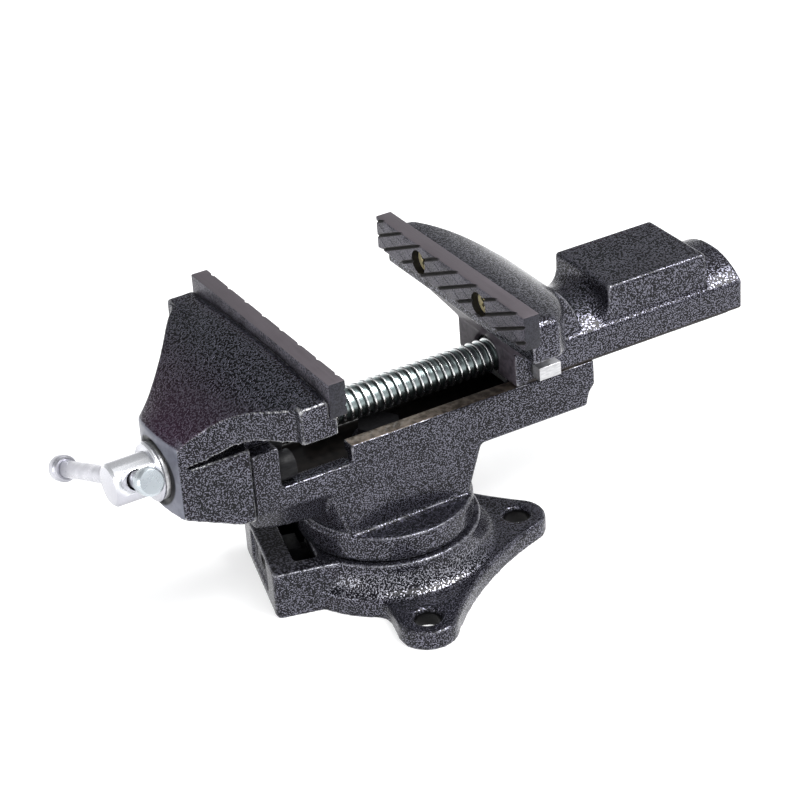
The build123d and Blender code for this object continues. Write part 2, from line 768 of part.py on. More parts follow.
def retaining_collar():
    """Collar behind the body's front wall that takes the pull of the spindle."""
    x0 = front_wall_x + slide_fit
    ring = rod_x(collar_radius, x0, x0 + collar_length, 0, spindle_height)
    ring = chamfer(ring.edges().filter_by(GeomType.CIRCLE), collar_edge)
    ring -= rod_x(spindle_radius + thread_fit, x0 - overrun, x0 + collar_length + overrun, 0, spindle_height)
    return ring - collar_pin_rod(collar_pin_radius + thread_fit)


def spindle_nut():
    """Square nut with a pocket in each side for its key."""
    half = nut_width / 2
    nut = box(
        nut_x, nut_x + nut_length, -half, half,
        spindle_height - nut_height / 2, spindle_height + nut_height / 2,
    )
    nut = chamfer(nut.edges().filter_by(Axis.X), key_bite / 2)
    nut -= rod_x(spindle_radius + shaft_fit, nut_x - overrun, nut_x + nut_length + overrun, 0, spindle_height)
    for key in both_sides(key_bar(thread_fit)):
        nut -= key
    return nut


def nut_keys():
    """Two keys through the casting's walls into the nut, ends left standing out."""
    return both_sides(key_bar(0))


def strip_screw_places():
    """Places of the keeper screws on the near side, as X and distance from the middle."""
    first = nut_x + wall_gap + strip_screw_inset
    step = (strip_length - 2 * strip_screw_inset) / (strip_screws - 1)
    middle = (nut_width / 2 + seat_fit + keel_half) / 2
    return [(first + step * i, middle) for i in range(strip_screws)]


def keeper_strips():
    """Two strips under the keel that run in the body's grooves."""
    outer = channel_half + groove_depth - seat_fit
    front = nut_x + wall_gap
    strip = box(
        front, front + strip_length, outer - strip_width, outer, keel_foot - strip_thickness, keel_foot,
    )
    low = keel_foot - strip_thickness
    for x, y in strip_screw_places():
        strip -= rod_z(strip_screw_radius + wall_gap, low - overrun, keel_foot + overrun, x, y)
        strip -= rod_z(strip_screw_head_radius + wall_gap, low - overrun, low + strip_screw_head_depth, x, y)
    return both_sides(strip)


def keeper_screws():
    """Screws of the keeper strips, heads flush in the strips."""
    low = keel_foot - strip_thickness
    screws = []
    for x, y in strip_screw_places():
        head = rod_z(strip_screw_head_radius, low + thread_fit, low + strip_screw_head_depth, x, y)
        shank = rod_z(strip_screw_radius, low + thread_fit, low + strip_screw_length, x, y)
        screws += both_sides(head + shank)
    return screws


def front_jaw_bolts():
    """Socket screws from inside the body through its front wall into the nose."""
    x1 = front_wall_x + jaw_bolt_head_length
    head = rod_x(jaw_bolt_head_radius, front_wall_x, x1, jaw_bolt_reach, jaw_bolt_height)
    x0 = front_wall_x - jaw_bolt_length
    shank = rod_x(jaw_bolt_radius, x0, front_wall_x, jaw_bolt_reach, jaw_bolt_height)
    socket = hex_socket(jaw_bolt_socket, jaw_bolt_socket_depth)
    socket = Pos(x1 - jaw_bolt_socket_depth, jaw_bolt_reach, jaw_bolt_height) * socket
    return both_sides(head + shank - socket)


def pivot_bolt():
    """Bolt down the swivel axis, head in the channel floor."""
    seat = channel_floor - pivot_seat_depth
    head = hex_bar(pivot_head_flats, seat, seat + pivot_head_height)
    return head + rod_z(pivot_radius, pivot_tail, seat)


pivot_plate_top = spigot_pocket_ceiling
pivot_nut_top = pivot_plate_top - pivot_plate_thickness


def pivot_plate():
    """Dished plate that hooks under the base's shoulder and turns with the body."""
    t = pivot_plate_thickness
    rim_top = base_shoulder - 2 * thread_fit
    rim = rod_z(pivot_plate_radius, rim_top - t, rim_top)
    hub = rod_z(pivot_dish_radius, rim_top - t, pivot_plate_top)
    plate = rim + hub - rod_z(pivot_dish_radius - t, -overrun, pivot_nut_top)
    return plate - rod_z(pivot_radius + wall_gap, -overrun, pivot_plate_top + overrun)


def pivot_nut():
    """Nut inside the dish of the plate."""
    nut = hex_bar(pivot_head_flats, pivot_nut_top - pivot_nut_height, pivot_nut_top)
    return nut - rod_z(pivot_radius + thread_fit, 0, pivot_nut_top + overrun)


def lock_screw():
    """Socket screw in the lug, from the window to the shoe."""
    x0, x1 = lock_face_x + lock_window_depth, lock_pit_end_x + wall_gap
    screw = lock_axis_rod(lock_screw_radius, x0, x1)
    screw -= Pos(x0 - overrun, 0, lock_height) * hex_socket(lock_screw_socket, lock_screw_socket_depth)
    return turned(screw)


def lock_nut():
    """Square nut held in the pit of the lug."""
    half = lock_nut_flats / 2
    nut = box(
        lock_pit_x + wall_gap, lock_pit_x + wall_gap + lock_nut_thickness, -half, half,
        lock_height - half, lock_height + half,
    )
    return turned(nut - lock_axis_rod(lock_screw_radius + thread_fit, lock_face_x, 0))


def lock_shoe():
    """Round shoe between the screw and the spigot, hollowed to the spigot's curve."""
    x0 = lock_pit_end_x + wall_gap + thread_fit
    shoe = lock_axis_rod(lock_shoe_radius, x0, lock_shoe_radius - spigot_radius)
    return turned(shoe - rod_z(spigot_radius + shaft_fit, 0, base_height))


os.makedirs("parts", exist_ok=True)
save("swivel_base", swivel_base())
save("vise_body", vise_body())
save("front_jaw", front_jaw())
save("sliding_jaw", sliding_jaw())
save("front_jaw_plate", jaw_plate(front_grip_x, -1))
save("rear_jaw_plate", jaw_plate(rear_grip_x, 1))
save("front_plate_screws", *plate_screws(front_grip_x, -1))
save("rear_plate_screws", *plate_screws(rear_grip_x, 1))
save("spindle", spindle())
save("thrust_washer", thrust_washer())
save("retaining_collar", retaining_collar())
save("collar_pin", collar_pin_rod(collar_pin_radius))
save("spindle_nut", spindle_nut())
save("nut_keys", *nut_keys())
save("keeper_strips", *keeper_strips())
save("keeper_screws", *keeper_screws())
save("front_jaw_bolts", *front_jaw_bolts())
save("handle_bar", handle_bar())
save("handle_knob_near", handle_knob(-handle_near_reach, -1))
save("handle_knob_far", handle_knob(handle_far_reach, 1))
save("pivot_bolt", pivot_bolt())
save("pivot_plate", pivot_plate())
save("pivot_nut", pivot_nut())
save("lock_screw", lock_screw())
save("lock_nut", lock_nut())
save("lock_shoe", lock_shoe())
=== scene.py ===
"""The looks of the swivel bench vise: finishes, screw thread, grip grooves, screw heads, light and camera."""
import json
from math import cos, floor, pi, radians, sin, tau

import bmesh
import bpy
import numpy as np
from mathutils import Matrix, Vector


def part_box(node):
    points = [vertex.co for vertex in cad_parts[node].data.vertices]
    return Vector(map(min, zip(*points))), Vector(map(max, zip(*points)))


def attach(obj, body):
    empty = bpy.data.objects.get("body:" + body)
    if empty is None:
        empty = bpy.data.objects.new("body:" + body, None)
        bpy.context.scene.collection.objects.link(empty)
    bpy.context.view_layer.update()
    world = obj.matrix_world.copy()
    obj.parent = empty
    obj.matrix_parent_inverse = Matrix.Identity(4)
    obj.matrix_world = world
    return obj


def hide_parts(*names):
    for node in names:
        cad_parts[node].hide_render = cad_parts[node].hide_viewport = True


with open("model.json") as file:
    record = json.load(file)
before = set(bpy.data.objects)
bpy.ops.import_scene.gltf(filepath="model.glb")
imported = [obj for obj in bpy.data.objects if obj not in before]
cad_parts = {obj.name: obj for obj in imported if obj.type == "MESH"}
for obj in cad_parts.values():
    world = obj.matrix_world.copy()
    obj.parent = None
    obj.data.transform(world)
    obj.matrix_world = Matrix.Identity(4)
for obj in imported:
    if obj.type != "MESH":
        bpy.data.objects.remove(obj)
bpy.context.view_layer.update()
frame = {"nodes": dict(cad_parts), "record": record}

MM = 0.001
X, Y, Z = range(3)
BEHAVIOUR = frame["record"]["behaviour"]
BODY_OF = {node: body for body, nodes in BEHAVIOUR["bodies"].items() for node in nodes}
JOINT = {joint["name"]: joint for joint in BEHAVIOUR["joints"]}
SLOT_OF = {part["node"]: part["material_slot"] for part in frame["record"]["subparts"]}


def box_mm(node):
    """A node's lowest and highest corners in millimetres."""
    return [[round(value / MM, 3) for value in corner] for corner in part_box(node)]


# Sizes in millimetres, from the frame.
HANDLE_X, SPINDLE_Z = (round(JOINT["spindle_turn"]["pos_m"][axis] / MM, 3) for axis in (X, Z))
HANDLE_AXIS = tuple(round(share, 4) for share in JOINT["handle_slide"]["axis"])
BODY_FRONT = box_mm("vise_body")[0][X]
BODY_TOP = box_mm("vise_body")[1][Z]
THREAD_END = box_mm("spindle")[1][X]
FRONT_PLATE, REAR_PLATE = box_mm("front_jaw_plate"), box_mm("rear_jaw_plate")
PLATE_FACES = {"front_jaw_plate": (FRONT_PLATE[1][X], -1), "rear_jaw_plate": (REAR_PLATE[0][X], 1)}
PLATE_SIZE = tuple(high - low for low, high in zip(*FRONT_PLATE))
PLATE_TOP = FRONT_PLATE[1][Z]
SCREWS_LOW, SCREWS_HIGH = box_mm("front_plate_screws")
SCREW_Z = round((SCREWS_LOW[Z] + SCREWS_HIGH[Z]) / 2, 3)
SCREW_Y = round(SCREWS_HIGH[Y] - (SCREWS_HIGH[Z] - SCREWS_LOW[Z]) / 2, 3)

# Sizes in millimetres and degrees that the frame doesn't name.
THREAD_START = -52.0
THREAD_PITCH = 4.0
THREAD_RADIUS = 8.0
THREAD_DEPTH = 1.7
KEEL_HALF = 16.3
SLIDE_Z = 80.15
EAR_PLACES = ((0.0, -65.5), (61.5, 0.0), (0.0, 65.5))
BASE_TURN = -14.8
SCREW_HEAD_R = 5.7
SCREW_SINK = 3.1

# Tones of the enamel: its ground, its flecks, its warm cast, where it pools, the painted highlight on its
# flecks in the base's cove, and where it is rubbed.
BLACK = (0.004, 0.004, 0.0055)
SILVER = (0.120, 0.119, 0.149)
WARM_DARK = (0.020, 0.008, 0.017)
WARM_LIGHT = (0.145, 0.092, 0.145)
POOLED = (0.115, 0.115, 0.131)
COVE_HIGHLIGHT = (0.24, 0.24, 0.27)
RUBBED = (0.22, 0.22, 0.245)

# Which sockets of the Mix node hold its share and its two values, and which one gives the result.
MIX_COLOURS = ((0, 6, 7), 2)
MIX_NUMBERS = ((0, 2, 3), 0)


class Nodes:
    """A material's node tree, with short calls for the nodes that the finishes use."""

    def __init__(self, name):
        self.material = bpy.data.materials.new(name)
        self.material.use_nodes = True
        self.tree = self.material.node_tree
        self.shader = self.tree.nodes["Principled BSDF"]
        self.place = self.tree.nodes.new("ShaderNodeTexCoord")

    def put(self, socket, value):
        """Links a socket to another one, or gives it a constant."""
        if isinstance(value, bpy.types.NodeSocket):
            self.tree.links.new(value, socket)
        else:
            socket.default_value = value

    def set(self, **values):
        """Sets sockets of the shader, whose names have underscores for their spaces."""
        for name, value in values.items():
            self.put(self.shader.inputs[name.replace("_", " ")], value)

    def math(self, operation, *values):
        node = self.tree.nodes.new("ShaderNodeMath")
        node.operation = operation
        for i, x in enumerate(values):
            self.put(node.inputs[i], x)
        return node.outputs[0]

    def weighed(self, a, b, share):
        """A share of a and the rest of b."""
        return self.math("ADD", self.math("MULTIPLY", a, share), self.math("MULTIPLY", b, 1.0 - share))

    def distance(self, a, b):
        """How far a point is from an axis, from its two distances across it."""
        squares = self.math("MULTIPLY", a, a), self.math("MULTIPLY", b, b)
        return self.math("SQRT", self.math("ADD", *squares))

    def both(self, *masks):
        """1 where every mask is 1."""
        whole = masks[0]
        for mask in masks[1:]:
            whole = self.math("MULTIPLY", whole, mask)
        return whole

    def remap(self, value, low, high, out_low=0.0, out_high=1.0):
        """Takes low to out_low and high to out_high, smoothly."""
        node = self.tree.nodes.new("ShaderNodeMapRange")
        node.interpolation_type = "SMOOTHSTEP"
        for i, x in enumerate((value, low, high, out_low, out_high)):
            self.put(node.inputs[i], x)
        return node.outputs[0]

    def above(self, place, low, high):
        """0 up to low and 1 from high, which are in millimetres."""
        return self.remap(place, low * MM, high * MM)

    def below(self, place, low, high):
        """1 up to low and 0 from high, which are in millimetres."""
        return self.remap(place, low * MM, high * MM, 1.0, 0.0)

    def between(self, place, low, high, soft=0.4):
        """1 between low and high, fading over soft to each side of both. All are in millimetres."""
        start = self.above(place, low - soft, low + soft)
        return self.both(start, self.below(place, high - soft, high + soft))

    def mixed(self, sockets, *values):
        """A Mix node of two colours or two numbers."""
        inputs, output = sockets
        node = self.tree.nodes.new("ShaderNodeMix")
        node.data_type = "RGBA" if sockets is MIX_COLOURS else "FLOAT"
        for i, x in zip(inputs, values):
            self.put(node.inputs[i], (*x, 1.0) if isinstance(x, tuple) else x)
        return node.outputs[output]

    def mix(self, share, a, b):
        """The colour a, and b where share is 1."""
        return self.mixed(MIX_COLOURS, share, a, b)

    def blend(self, share, a, b):
        """The number a, and b where share is 1."""
        return self.mixed(MIX_NUMBERS, share, a, b)

    def stretched(self, x, y, z):
        """The object's coordinates, each times its own scale."""
        node = self.tree.nodes.new("ShaderNodeMapping")
        self.put(node.inputs["Vector"], self.place.outputs["Object"])
        node.inputs["Scale"].default_value = (x, y, z)
        return node.outputs[0]

    def noise(self, scale=1.0, detail=2.0, roughness=0.5, vector=None):
        node = self.tree.nodes.new("ShaderNodeTexNoise")
        self.put(node.inputs["Vector"], vector or self.place.outputs["Object"])
        for name, x in (("Scale", scale), ("Detail", detail), ("Roughness", roughness)):
            node.inputs[name].default_value = x
        return node.outputs[0]

    def axis(self, which, normal=False):
        """One coordinate of the place, or of the normal."""
        node = self.tree.nodes.new("ShaderNodeSeparateXYZ")
        self.put(node.inputs[0], self.place.outputs["Normal" if normal else "Object"])
        return node.outputs[which]

    def over_spindle(self):
        """The height over the spindle's axis."""
        return self.math("SUBTRACT", self.axis(Z), SPINDLE_Z * MM)

    def attribute(self, name):
        node = self.tree.nodes.new("ShaderNodeAttribute")
        node.attribute_name = name
        return node.outputs["Fac"]

    def bump(self, height, distance, strength=1.0):
        """The normal over bumps that are distance high, in millimetres."""
        node = self.tree.nodes.new("ShaderNodeBump")
        self.put(node.inputs["Height"], height)
        node.inputs["Distance"].default_value = distance * MM
        node.inputs["Strength"].default_value = strength
        return node.outputs[0]


def hammered(name, layers=(), warm=None, worn=RUBBED):
    """Hammered enamel: a black ground with fine silver flecks, each a small bump.
    A layer is (mask, dark, light, roughness, metal) and covers the enamel where its mask is 1.
    warm is the mask of a warm cast over the enamel, and worn the tone of its rubbed edges."""
    ground_dull, fleck_dull, pooled_dull, spread = 0.20, 0.27, 0.24, 0.06
    pooled_height, layer_height = 0.6, 0.25
    patchiness, warmth, pooling = 0.10, 0.6, 0.85
    chipped, unchipped = 0.7, 0.15

    m = Nodes(name)
    lying = m.remap(m.axis(Z, True), 0.55, 0.85)
    fleck = m.blend(lying, m.noise(scale=1600.0, detail=0.5), m.noise(scale=1200.0, detail=0.5))
    patch = m.math("SUBTRACT", m.noise(scale=38.0), 0.5)
    level = m.math("ADD", fleck, m.math("MULTIPLY", patch, patchiness))
    silver = m.remap(level, 0.505, 0.60)
    colour = m.mix(silver, BLACK, SILVER)
    rough = m.blend(silver, ground_dull, fleck_dull)
    metal = height = silver

    # Painted highlight: lighter flecks in the front and back of the base's cove.
    colour = m.mix(m.both(m.attribute("cove"), silver), colour, COVE_HIGHLIGHT)
    if warm:
        colour = m.mix(m.math("MULTIPLY", warm(m), warmth), colour, m.mix(silver, WARM_DARK, WARM_LIGHT))

    pooled = m.math("MULTIPLY", m.remap(m.attribute("crease"), 0.25, 0.60), pooling)
    colour = m.mix(pooled, colour, POOLED)
    rough = m.blend(pooled, rough, pooled_dull)
    metal = m.blend(pooled, metal, 1.0)
    height = m.blend(pooled, height, pooled_height)

    chips = m.remap(m.noise(scale=420.0, roughness=0.6), 0.40, 0.60)
    chips = m.math("MULTIPLY_ADD", chips, chipped, unchipped)
    rubbed = m.both(m.remap(m.attribute("edge"), 0.30, 0.75), chips)
    colour = m.mix(rubbed, colour, worn)
    metal = m.blend(rubbed, metal, 1.0)

    for mask, dark, light, dull, shine in layers:
        share = mask(m)
        grain = m.noise(scale=260.0, detail=3.0, roughness=0.6)
        colour = m.mix(share, colour, m.mix(m.remap(grain, 0.35, 0.65), dark, light))
        rough = m.blend(share, rough, m.remap(grain, 0.3, 0.7, dull - spread, dull + spread))
        metal = m.blend(share, metal, shine)
        height = m.blend(share, height, m.math("MULTIPLY", grain, layer_height))

    m.set(Base_Color=colour, Roughness=rough, Metallic=metal, Normal=m.bump(height, 0.09))
    m.set(Specular_IOR_Level=0.04, Coat_Weight=0.2, Coat_Roughness=0.12)
    return m.material


# Where the finishes change, in millimetres. A fade holds the places, or the distances from an axis, where a
# mask starts and stops changing, and a band the places that it lies between.
WAY_BAND = (78.8, 80.6)
CHANNEL_HALF = 16.8
CHANNEL_BAND = (65.0, 79.3)
CHANNEL_FADE = (-62.2, -61.0)
NOSE_FADE = (-103.5, -102.5)
FLANGE_FADE = (15.2, 16.4)
WARM_FADE = (-108.0, -70.0)
WARM_HEIGHT_FADE = (98.0, 108.0)
SEAM_HALF = 0.5
TAIL_SIDE_FADE = (22.5, 23.5)
TAIL_START_FADE = (62.0, 66.0)
TAIL_HEIGHT_FADE = (81.4, 82.2)
COLUMN_FADE = (59.2, 60.0)
COLUMN_HEIGHT_FADE = (112.0, 113.5)
BORE_FADE = (5.2, 5.4)
BORE_END_FADE = (9.4, 9.6)
CREST_FADE = (6.7, 7.6)


def way_tops(m):
    """The machined tops of the ways."""
    level = m.remap(m.axis(Z, True), 0.80, 0.95)
    return m.both(level, m.between(m.axis(Z), *WAY_BAND))


def channel_shade_walls(m):
    """The body's unpainted inside, under and between the ways, with painted shade that makes it near black.
    """
    inner = m.between(m.axis(Y), -CHANNEL_HALF, CHANNEL_HALF, 0.3)
    return m.both(inner, m.between(m.axis(Z), *CHANNEL_BAND), m.above(m.axis(X), *CHANNEL_FADE))


def nose_face(m):
    """The machined face of the nose, round the spindle."""
    ahead = m.remap(m.axis(X, True), -0.80, -0.62, 1.0, 0.0)
    return m.both(ahead, m.below(m.axis(X), *NOSE_FADE))


def nose_ring(m):
    """The shaded seat round the spindle's flange."""
    away = m.distance(m.over_spindle(), m.axis(Y))
    return m.both(nose_face(m), m.below(away, *FLANGE_FADE))


def nose_top(m):
    """The front jaw's upper side over the nose, which has a warm cast."""
    upper = m.remap(m.axis(Z, True), 0.2, 0.6)
    return m.both(m.below(m.axis(X), *WARM_FADE), m.above(m.axis(Z), *WARM_HEIGHT_FADE), upper)


def jaw_seam(m):
    """The dark line where the front jaw meets the body."""
    side = m.remap(m.math("ABSOLUTE", m.axis(Y, True)), 0.3, 0.6)
    line = m.between(m.axis(X), BODY_FRONT - SEAM_HALF, BODY_FRONT + SEAM_HALF, 0.1)
    return m.both(side, line, m.below(m.axis(Z), BODY_TOP - 2 * SEAM_HALF, BODY_TOP + 2 * SEAM_HALF))


def tail_rim(m):
    """The bare lower edge of the tail, where it runs over the ways."""
    side = m.above(m.math("ABSOLUTE", m.axis(Y)), *TAIL_SIDE_FADE)
    return m.both(side, m.above(m.axis(X), *TAIL_START_FADE), m.below(m.axis(Z), *TAIL_HEIGHT_FADE))


def shaded(m):
    """The insides of the base's bolt holes and lock pit, and less strongly the lug's top."""
    return m.attribute("shade")


def column_front(m):
    """The plain face of the sliding casting under its jaw plate."""
    ahead = m.remap(m.axis(X, True), -0.80, -0.60, 1.0, 0.0)
    return m.both(ahead, m.below(m.axis(X), *COLUMN_FADE), m.below(m.axis(Z), *COLUMN_HEIGHT_FADE))


def head_bore_shade(m):
    """Painted shade: the inside of the head's bore for the handle bar."""
    across, up = m.axis(Y), m.over_spindle()
    _, run, drop = HANDLE_AXIS
    along = m.math("ADD", m.math("MULTIPLY", across, run), m.math("MULTIPLY", up, drop))
    over = m.math("SUBTRACT", m.math("MULTIPLY", across, drop), m.math("MULTIPLY", up, run))
    ahead = m.math("SUBTRACT", m.axis(X), HANDLE_X * MM)
    inside = m.below(m.distance(ahead, over), *BORE_FADE)
    return m.both(inside, m.below(m.distance(along, over), *BORE_END_FADE))


def plate_pit_shade(m):
    """Painted shade: the insides of a plate's grooves and screw holes, below its outer faces."""
    thick, wide, high = PLATE_SIZE
    under_grip, under_back, under_edge, under_top = 0.15, 0.4, 0.6, 0.7
    soft, soft_x = 0.1, 0.08
    inside = None
    for face_x, side in PLATE_FACES.values():
        low_x, high_x = sorted((face_x + side * under_grip, face_x + side * (thick - under_back)))
        share = m.between(m.axis(X), low_x, high_x, soft_x)
        inside = m.math("ADD", inside, share) if inside else share
    height = m.between(m.axis(Z), PLATE_TOP - high + under_edge, PLATE_TOP - under_top, soft)
    return m.both(inside, height, m.between(m.axis(Y), under_edge - wide / 2, wide / 2 - under_edge, soft))


def ground_steel(name):
    """A hard plate: ground along its top, blasted on its grip face and ends, with painted shade, black, in
    its grooves and screw holes.
    """
    top_tones = (0.062, 0.053, 0.060), (0.102, 0.090, 0.101)
    grip_tones = (0.016, 0.015, 0.020), (0.120, 0.114, 0.140)
    end_tones = (0.007, 0.007, 0.010), (0.022, 0.022, 0.030)
    pit_shade_tones = (0.004, 0.004, 0.004), (0.016, 0.014, 0.013)
    grain_share, blast_share, grain_height, dull = 0.6, 0.7, 0.3, (0.42, 0.56)

    m = Nodes(name)
    grain = m.noise(detail=3.0, roughness=0.6, vector=m.stretched(900.0, 40.0, 900.0))
    cloud = m.noise(scale=90.0, detail=3.0, roughness=0.6)
    blast = m.noise(scale=1500.0, detail=1.0)
    tone = m.weighed(grain, cloud, grain_share)
    colour = m.mix(tone, *top_tones)
    grip = m.remap(m.math("ABSOLUTE", m.axis(X, True)), 0.55, 0.85)
    end = m.remap(m.math("ABSOLUTE", m.axis(Y, True)), 0.55, 0.85)
    speckle = m.weighed(blast, cloud, blast_share)
    colour = m.mix(grip, colour, m.mix(m.remap(speckle, 0.40, 0.60), *grip_tones))
    colour = m.mix(end, colour, m.mix(m.remap(speckle, 0.36, 0.62), *end_tones))
    # Painted shade: near black inside the grooves and screw holes.
    colour = m.mix(plate_pit_shade(m), colour, m.mix(cloud, *pit_shade_tones))
    height = m.blend(grip, m.math("MULTIPLY", grain, grain_height), blast)
    m.set(Base_Color=colour, Roughness=m.remap(tone, 0.3, 0.7, *dull), Metallic=0.55)
    m.set(Normal=m.bump(height, 0.05, 0.6))
    return m.material


def bright_zinc(name, colour=(0.70, 0.715, 0.74), rough=(0.20, 0.26), bore=False, under=None):
    """Zinc plate on a turned piece. under is the tone of painted shade on its lower side; bore paints shade,
    near black, into the head's bore.
    """
    cloud_shade, bore_shade_tone = 0.93, (0.004, 0.004, 0.005)
    m = Nodes(name)
    cloud = m.noise(scale=160.0, detail=3.0, roughness=0.6)
    turned = m.noise(vector=m.stretched(2600.0, 120.0, 120.0))
    tone = m.mix(m.remap(cloud, 0.35, 0.7), colour, tuple(cloud_shade * c for c in colour))
    if under:
        # Painted shade: the faces that look down take the darker tone under.
        tone = m.mix(m.remap(m.axis(Z, True), -0.05, 0.40), under, tone)
    if bore:
        # Painted shade: the head's bore is near black.
        tone = m.mix(head_bore_shade(m), tone, bore_shade_tone)
    m.set(Base_Color=tone, Roughness=m.remap(cloud, 0.3, 0.7, *rough), Metallic=0.88)
    m.set(Normal=m.bump(turned, 0.01, 0.4))
    return m.material


def thread_zinc(name):
    """Zinc on the screw: bright on the crests and dull in the roots, with painted shade that darkens the
    roots and makes the flanks that face the nut near black.
    """
    root_shade_tone, crest_tone, flank_shade_tone = (0.26, 0.31, 0.31), (0.82, 0.84, 0.84), (0.02, 0.023, 0.023)
    root_dull, crest_dull = 0.34, (0.20, 0.26)
    stain, stain_tone = 0.12, (0.02, 0.02, 0.02)
    m = Nodes(name)
    crest = m.above(m.distance(m.over_spindle(), m.axis(Y)), *CREST_FADE)
    behind = m.remap(m.axis(X, True), 0.20, 0.55)
    cloud = m.noise(scale=160.0, detail=3.0, roughness=0.6)
    # Painted shade: darker roots, and near-black flanks on the side that faces +X.
    tone = m.mix(behind, m.mix(crest, root_shade_tone, crest_tone), flank_shade_tone)
    stained = m.mix(m.remap(cloud, 0.35, 0.7, 0.0, stain), tone, stain_tone)
    rough = m.blend(crest, root_dull, m.remap(cloud, 0.3, 0.7, *crest_dull))
    m.set(Base_Color=stained, Roughness=rough, Metallic=1.0)
    return m.material


def yellow_zinc(name):
    """Yellow zinc plate: yellow on the faces that face along X, dark brown on the others."""
    brown, yellows, dull = (0.05, 0.04, 0.02), ((0.66, 0.54, 0.24), (0.84, 0.78, 0.52)), (0.24, 0.4)
    m = Nodes(name)
    cloud = m.noise(scale=700.0, roughness=0.6)
    flat = m.remap(m.math("ABSOLUTE", m.axis(X, True)), 0.6, 0.9)
    tone = m.mix(flat, brown, m.mix(cloud, *yellows))
    m.set(Base_Color=tone, Roughness=m.remap(cloud, 0.3, 0.7, *dull), Metallic=0.6)
    return m.material


def milled_steel(name, dark, light, metal, rough, gloss=0.5):
    """Plain metal with the fine grain that a cutter or a mould leaves."""
    m = Nodes(name)
    grain = m.noise(detail=3.0, roughness=0.6, vector=m.stretched(300.0, 1500.0, 1500.0))
    spot = m.noise(scale=500.0, roughness=0.6)
    tone = m.mix(m.remap(grain, 0.3, 0.7), dark, light)
    m.set(Base_Color=tone, Roughness=m.remap(spot, 0.3, 0.7, *rough), Metallic=metal)
    m.set(Specular_IOR_Level=gloss, Normal=m.bump(grain, 0.02, 0.5))
    return m.material


# Layers over the enamel: mask, dark tone, light tone, roughness, metal.
MACHINED = (way_tops, (0.055, 0.043, 0.034), (0.17, 0.14, 0.115), 0.42, 0.7)
PLAIN_NOSE = (nose_face, (0.13, 0.135, 0.165), (0.17, 0.175, 0.21), 0.38, 0.3)
NOSE_RING = (nose_ring, (0.006, 0.006, 0.007), (0.012, 0.012, 0.014), 0.4, 0.0)
# Painted shade: the body's inside, under and between the ways, near black.
CHANNEL_SHADE = (channel_shade_walls, (0.0015, 0.0013, 0.0012), (0.006, 0.005, 0.0045), 0.5, 0.0)
COLUMN = (column_front, (0.040, 0.034, 0.042), (0.082, 0.072, 0.086), 0.5, 0.1)
SEAM = (jaw_seam, (0.0015, 0.0015, 0.002), (0.003, 0.003, 0.004), 0.6, 0.0)
TAIL_RIM = (tail_rim, (0.006, 0.004, 0.0035), (0.016, 0.012, 0.011), 0.5, 0.1)
SHADE = (shaded, (0.0012, 0.0012, 0.0015), (0.003, 0.003, 0.0035), 0.6, 0.0)

FINISH = {
    "swivel_base": hammered("hammered_base", (SHADE,)),
    "vise_body": hammered("hammered_body", (CHANNEL_SHADE, MACHINED, SEAM)),
    "front_jaw": hammered("hammered_front", (PLAIN_NOSE, NOSE_RING, SEAM), nose_top, (0.46, 0.46, 0.47)),
    "sliding_jaw": hammered("hammered_rear", (COLUMN, TAIL_RIM)),
    "handle_bar": bright_zinc("handle_zinc", (0.47, 0.47, 0.515), (0.26, 0.38)),
    "spindle": bright_zinc("spindle_zinc", (0.78, 0.79, 0.82), bore=True, under=(0.44, 0.44, 0.48)),
    "handle_knob_near": bright_zinc("knob_zinc", (0.45, 0.49, 0.52), (0.24, 0.34)),
}
FINISH["handle_knob_far"] = FINISH["handle_bar"]
SLOT_FINISH = {
    "hardened_steel": ground_steel("ground_plate"),
    "bright_zinc": bright_zinc("bright_zinc"),
    "yellow_zinc": yellow_zinc("yellow_zinc"),
    "bare_steel": milled_steel(
        "bare_steel", (0.36, 0.36, 0.37), (0.52, 0.52, 0.53), metal=0.9, rough=(0.32, 0.5)),
    "black_steel": milled_steel(
        "black_steel", (0.003, 0.003, 0.0035), (0.008, 0.008, 0.009),
        metal=0.0, rough=(0.4, 0.55), gloss=0.12),
    "plain_casting": milled_steel(
        "plain_casting", (0.010, 0.010, 0.012), (0.03, 0.03, 0.034), metal=0.2, rough=(0.45, 0.6)),
}


def linked(name, data):
    """A new object in the scene."""
    obj = bpy.data.objects.new(name, data)
    bpy.context.scene.collection.objects.link(obj)
    return obj


def add_object(name, mesh, node=None, body=None, finish=None, slot=None):
    """A piece of the vise, which stands for a CAD node or rides on a body of its own."""
    piece = linked(name, mesh)
    slot = slot or SLOT_OF[node]
    mesh.materials.clear()
    mesh.materials.append(finish or FINISH.get(node) or SLOT_FINISH[slot])
    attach(piece, body or BODY_OF[node])
    if node:
        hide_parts(node)
    return piece


def applied(piece):
    """Works a piece's modifiers into its mesh."""
    graph = bpy.context.evaluated_depsgraph_get()
    mesh = bpy.data.meshes.new_from_object(piece.evaluated_get(graph))
    old = piece.data
    piece.modifiers.clear()
    piece.data = mesh
    bpy.data.meshes.remove(old)


def cad_copy(node, change=None):
    """A welded copy of a CAD node's mesh, which change(bm) may alter."""
    weld = 0.01
    bm = bmesh.new()
    bm.from_mesh(frame["nodes"][node].data)
    bmesh.ops.remove_doubles(bm, verts=bm.verts, dist=weld * MM)
    if change:
        change(bm)
    mesh = bpy.data.meshes.new(node + "_looks")
    bm.to_mesh(mesh)
    bm.free()
    return mesh


def smooth(mesh, sharp=None):
    """Shades a mesh smoothly, apart from edges that turn by more than sharp degrees."""
    for face in mesh.polygons:
        face.use_smooth = True
    if sharp:
        mesh.set_sharp_from_angle(angle=radians(sharp))


